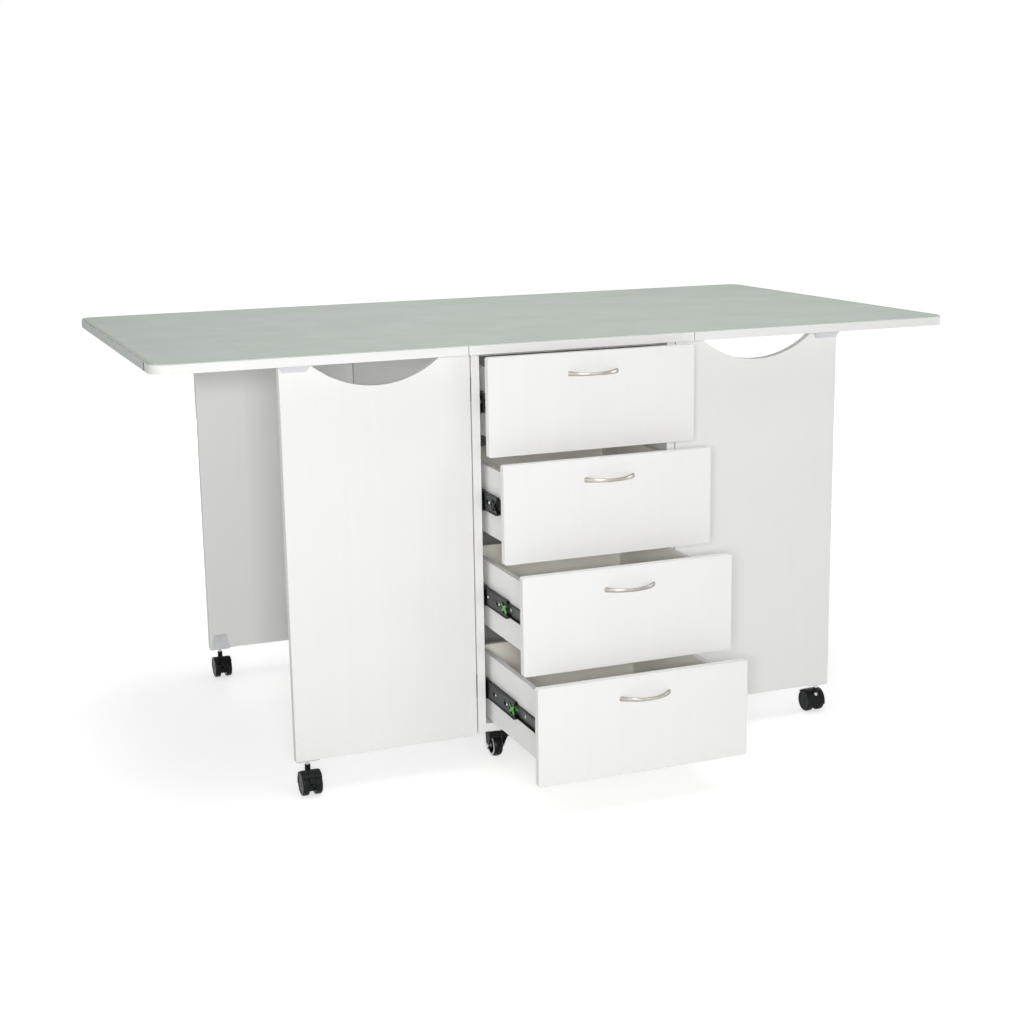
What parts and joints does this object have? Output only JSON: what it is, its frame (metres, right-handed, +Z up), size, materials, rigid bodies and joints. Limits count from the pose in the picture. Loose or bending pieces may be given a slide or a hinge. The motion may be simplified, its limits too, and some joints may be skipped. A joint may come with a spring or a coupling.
{
  "type": "folding sewing cutting table",
  "caption": "Rolling sewing cutting table: a cabinet of drawers under a matted top, with hinged leaves held up by swinging gate legs on casters",
  "frame": {"origin": "on the floor, under the middle of the box that holds the table as drawn", "axes": "+X to the right along the table, +Y from the drawer side to the back, +Z up"},
  "size_m": [1.778, 1.292, 0.914],
  "materials": {
    "white_board": "white melamine on board",
    "cutting_mat": "matte grey-green",
    "slide_steel": "dark zinc",
    "zinc_steel": "zinc plated",
    "brushed_nickel": "brushed nickel",
    "black_plastic": "moulded black",
    "black_steel": "black paint",
    "white_plastic": "moulded white"
  },
  "bodies": {
    "cabinet": {"cabinet_left_side": "white_board", "cabinet_right_side": "white_board", "cabinet_base": "white_board", "cabinet_partition": "white_board", "cabinet_top_rails": "white_board", "rear_shelves": "white_board", "center_top": "white_board", "cutting_mat_center": "cutting_mat", "hinge_fixed_halves": "zinc_steel", "slide_cabinet_members": "slide_steel", "cabinet_caster_plates": "zinc_steel"},
    "left_leaf": {"left_leaf": "white_board", "cutting_mat_left": "cutting_mat", "left_leaf_hinge_halves": "zinc_steel", "left_gate_stops": "white_plastic"},
    "right_leaf": {"right_leaf": "white_board", "cutting_mat_right": "cutting_mat", "right_leaf_hinge_halves": "zinc_steel", "right_gate_stops": "white_plastic"},
    "front_left_gate": {"front_left_gate": "white_board", "front_left_gate_fittings": "zinc_steel"},
    "front_left_caster_hood": {"front_left_caster_hood": "black_plastic"},
    "front_left_caster_wheels": {"front_left_caster_wheels": "black_plastic"},
    "front_right_gate": {"front_right_gate": "white_board", "front_right_gate_fittings": "zinc_steel"},
    "front_right_caster_hood": {"front_right_caster_hood": "black_plastic"},
    "front_right_caster_wheels": {"front_right_caster_wheels": "black_plastic"},
    "rear_left_gate": {"rear_left_gate": "white_board", "rear_left_gate_fittings": "zinc_steel"},
    "rear_left_caster_hood": {"rear_left_caster_hood": "black_plastic"},
    "rear_left_caster_wheels": {"rear_left_caster_wheels": "black_plastic"},
    "rear_right_gate": {"rear_right_gate": "white_board", "rear_right_gate_fittings": "zinc_steel"},
    "rear_right_caster_hood": {"rear_right_caster_hood": "black_plastic"},
    "rear_right_caster_wheels": {"rear_right_caster_wheels": "black_plastic"},
    "front_left_cabinet_caster_fork": {"front_left_cabinet_caster_fork": "black_steel"},
    "front_left_cabinet_caster_wheel": {"front_left_cabinet_caster_wheel": "black_plastic"},
    "front_right_cabinet_caster_fork": {"front_right_cabinet_caster_fork": "black_steel"},
    "front_right_cabinet_caster_wheel": {"front_right_cabinet_caster_wheel": "black_plastic"},
    "rear_left_cabinet_caster_fork": {"rear_left_cabinet_caster_fork": "black_steel"},
    "rear_left_cabinet_caster_wheel": {"rear_left_cabinet_caster_wheel": "black_plastic"},
    "rear_right_cabinet_caster_fork": {"rear_right_cabinet_caster_fork": "black_steel"},
    "rear_right_cabinet_caster_wheel": {"rear_right_cabinet_caster_wheel": "black_plastic"},
    "drawer_1": {"drawer_1": "white_board", "drawer_1_handle": "brushed_nickel", "drawer_1_slide_rails": "slide_steel"},
    "drawer_1_middle_members": {"drawer_1_middle_members": "slide_steel"},
    "drawer_2": {"drawer_2": "white_board", "drawer_2_handle": "brushed_nickel", "drawer_2_slide_rails": "slide_steel"},
    "drawer_2_middle_members": {"drawer_2_middle_members": "slide_steel"},
    "drawer_3": {"drawer_3": "white_board", "drawer_3_handle": "brushed_nickel", "drawer_3_slide_rails": "slide_steel"},
    "drawer_3_middle_members": {"drawer_3_middle_members": "slide_steel"},
    "drawer_4": {"drawer_4": "white_board", "drawer_4_handle": "brushed_nickel", "drawer_4_slide_rails": "slide_steel"},
    "drawer_4_middle_members": {"drawer_4_middle_members": "slide_steel"}
  },
  "joints": [
    {"name": "left_leaf_lift", "type": "hinge", "parent": "cabinet", "child": "left_leaf", "pos_m": [-0.254, 0.156, 0.89], "axis": [0, 1, 0], "range_deg": [0, 3]},
    {"name": "right_leaf_lift", "type": "hinge", "parent": "cabinet", "child": "right_leaf", "pos_m": [0.254, 0.156, 0.89], "axis": [0, -1, 0], "range_deg": [0, 3]},
    {"name": "front_left_gate_swing", "type": "hinge", "parent": "cabinet", "child": "front_left_gate", "pos_m": [-0.2358, -0.2627, 0.48175], "axis": [0, 0, -1], "range_deg": [0, 90]},
    {"name": "front_left_caster_swivel", "type": "hinge", "parent": "front_left_gate", "child": "front_left_caster_hood", "pos_m": [-0.6076, -0.275, 0.06], "axis": [0, 0, 1], "continuous": true},
    {"name": "front_left_caster_roll", "type": "hinge", "parent": "front_left_caster_hood", "child": "front_left_caster_wheels", "pos_m": [-0.6076, -0.293, 0.025], "axis": [1, 0, 0], "continuous": true},
    {"name": "front_right_gate_swing", "type": "hinge", "parent": "cabinet", "child": "front_right_gate", "pos_m": [0.2358, -0.2627, 0.48175], "axis": [0, 0, 1], "range_deg": [0, 90]},
    {"name": "front_right_caster_swivel", "type": "hinge", "parent": "front_right_gate", "child": "front_right_caster_hood", "pos_m": [0.6076, -0.275, 0.06], "axis": [0, 0, 1], "continuous": true},
    {"name": "front_right_caster_roll", "type": "hinge", "parent": "front_right_caster_hood", "child": "front_right_caster_wheels", "pos_m": [0.6076, -0.257, 0.025], "axis": [1, 0, 0], "continuous": true},
    {"name": "rear_left_gate_swing", "type": "hinge", "parent": "cabinet", "child": "rear_left_gate", "pos_m": [-0.2358, 0.5747, 0.48175], "axis": [0, 0, 1], "range_deg": [0, 90]},
    {"name": "rear_left_caster_swivel", "type": "hinge", "parent": "rear_left_gate", "child": "rear_left_caster_hood", "pos_m": [-0.6076, 0.587, 0.06], "axis": [0, 0, 1], "continuous": true},
    {"name": "rear_left_caster_roll", "type": "hinge", "parent": "rear_left_caster_hood", "child": "rear_left_caster_wheels", "pos_m": [-0.6076, 0.569, 0.025], "axis": [1, 0, 0], "continuous": true},
    {"name": "rear_right_gate_swing", "type": "hinge", "parent": "cabinet", "child": "rear_right_gate", "pos_m": [0.2358, 0.5747, 0.48175], "axis": [0, 0, -1], "range_deg": [0, 90]},
    {"name": "rear_right_caster_swivel", "type": "hinge", "parent": "rear_right_gate", "child": "rear_right_caster_hood", "pos_m": [0.6076, 0.587, 0.06], "axis": [0, 0, 1], "continuous": true},
    {"name": "rear_right_caster_roll", "type": "hinge", "parent": "rear_right_caster_hood", "child": "rear_right_caster_wheels", "pos_m": [0.6076, 0.605, 0.025], "axis": [1, 0, 0], "continuous": true},
    {"name": "front_left_cabinet_caster_swivel", "type": "hinge", "parent": "cabinet", "child": "front_left_cabinet_caster_fork", "pos_m": [-0.1775, -0.255, 0.0675], "axis": [0, 0, 1], "continuous": true},
    {"name": "front_left_cabinet_caster_roll", "type": "hinge", "parent": "front_left_cabinet_caster_fork", "child": "front_left_cabinet_caster_wheel", "pos_m": [-0.1775, -0.237, 0.025], "axis": [1, 0, 0], "continuous": true},
    {"name": "front_right_cabinet_caster_swivel", "type": "hinge", "parent": "cabinet", "child": "front_right_cabinet_caster_fork", "pos_m": [0.1775, -0.255, 0.0675], "axis": [0, 0, 1], "continuous": true},
    {"name": "front_right_cabinet_caster_roll", "type": "hinge", "parent": "front_right_cabinet_caster_fork", "child": "front_right_cabinet_caster_wheel", "pos_m": [0.1775, -0.237, 0.025], "axis": [1, 0, 0], "continuous": true},
    {"name": "rear_left_cabinet_caster_swivel", "type": "hinge", "parent": "cabinet", "child": "rear_left_cabinet_caster_fork", "pos_m": [-0.1775, 0.567, 0.0675], "axis": [0, 0, 1], "continuous": true},
    {"name": "rear_left_cabinet_caster_roll", "type": "hinge", "parent": "rear_left_cabinet_caster_fork", "child": "rear_left_cabinet_caster_wheel", "pos_m": [-0.1775, 0.585, 0.025], "axis": [1, 0, 0], "continuous": true},
    {"name": "rear_right_cabinet_caster_swivel", "type": "hinge", "parent": "cabinet", "child": "rear_right_cabinet_caster_fork", "pos_m": [0.1775, 0.567, 0.0675], "axis": [0, 0, 1], "continuous": true},
    {"name": "rear_right_cabinet_caster_roll", "type": "hinge", "parent": "rear_right_cabinet_caster_fork", "child": "rear_right_cabinet_caster_wheel", "pos_m": [0.1775, 0.585, 0.025], "axis": [1, 0, 0], "continuous": true},
    {"name": "drawer_1_slide", "type": "slide", "parent": "cabinet", "child": "drawer_1", "axis": [0, -1, 0], "range_m": [-0.076, 0.364]},
    {"name": "drawer_1_middle_slide", "type": "slide", "parent": "cabinet", "child": "drawer_1_middle_members", "axis": [0, -1, 0], "range_m": [-0.038, 0.182]},
    {"name": "drawer_2_slide", "type": "slide", "parent": "cabinet", "child": "drawer_2", "axis": [0, -1, 0], "range_m": [-0.153, 0.287]},
    {"name": "drawer_2_middle_slide", "type": "slide", "parent": "cabinet", "child": "drawer_2_middle_members", "axis": [0, -1, 0], "range_m": [-0.0765, 0.1435]},
    {"name": "drawer_3_slide", "type": "slide", "parent": "cabinet", "child": "drawer_3", "axis": [0, -1, 0], "range_m": [-0.248, 0.192]},
    {"name": "drawer_3_middle_slide", "type": "slide", "parent": "cabinet", "child": "drawer_3_middle_members", "axis": [0, -1, 0], "range_m": [-0.124, 0.096]},
    {"name": "drawer_4_slide", "type": "slide", "parent": "cabinet", "child": "drawer_4", "axis": [0, -1, 0], "range_m": [-0.319, 0.121]},
    {"name": "drawer_4_middle_slide", "type": "slide", "parent": "cabinet", "child": "drawer_4_middle_members", "axis": [0, -1, 0], "range_m": [-0.1595, 0.0605]}
  ],
  "couplings": [
    {"joint": "drawer_1_middle_slide", "follows": "drawer_1_slide", "ratio": 0.5},
    {"joint": "drawer_2_middle_slide", "follows": "drawer_2_slide", "ratio": 0.5},
    {"joint": "drawer_3_middle_slide", "follows": "drawer_3_slide", "ratio": 0.5},
    {"joint": "drawer_4_middle_slide", "follows": "drawer_4_slide", "ratio": 0.5}
  ]
}
